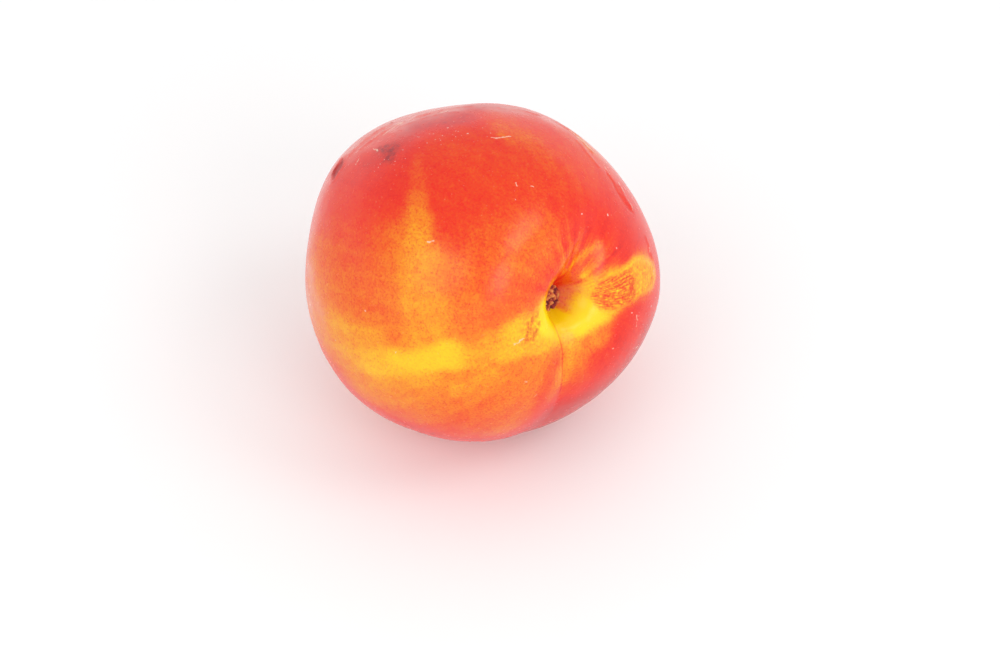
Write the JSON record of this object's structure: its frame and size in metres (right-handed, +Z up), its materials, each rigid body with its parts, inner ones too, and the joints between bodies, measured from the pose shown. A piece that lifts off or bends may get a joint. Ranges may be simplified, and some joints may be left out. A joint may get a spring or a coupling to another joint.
{
  "type": "nectarine",
  "caption": "Whole ripe nectarine lying on one side, with an open stalk cavity and scar, a suture crease and two uneven cheeks.",
  "frame": {"origin": "middle of the bounding box, at the bottom, on the flat spot that the fruit lies on", "axes": "+Z up as it lies; -Y is the side that the stalk end faces, turned 39 degrees towards +X and raised 27 degrees"},
  "size_m": [0.0698, 0.0686, 0.0677],
  "materials": {
    "skin": "smooth waxy fruit skin, satin, red blushed over orange and yellow"
  },
  "bodies": {
    "root": {"nectarine": "skin"}
  },
  "joints": []
}
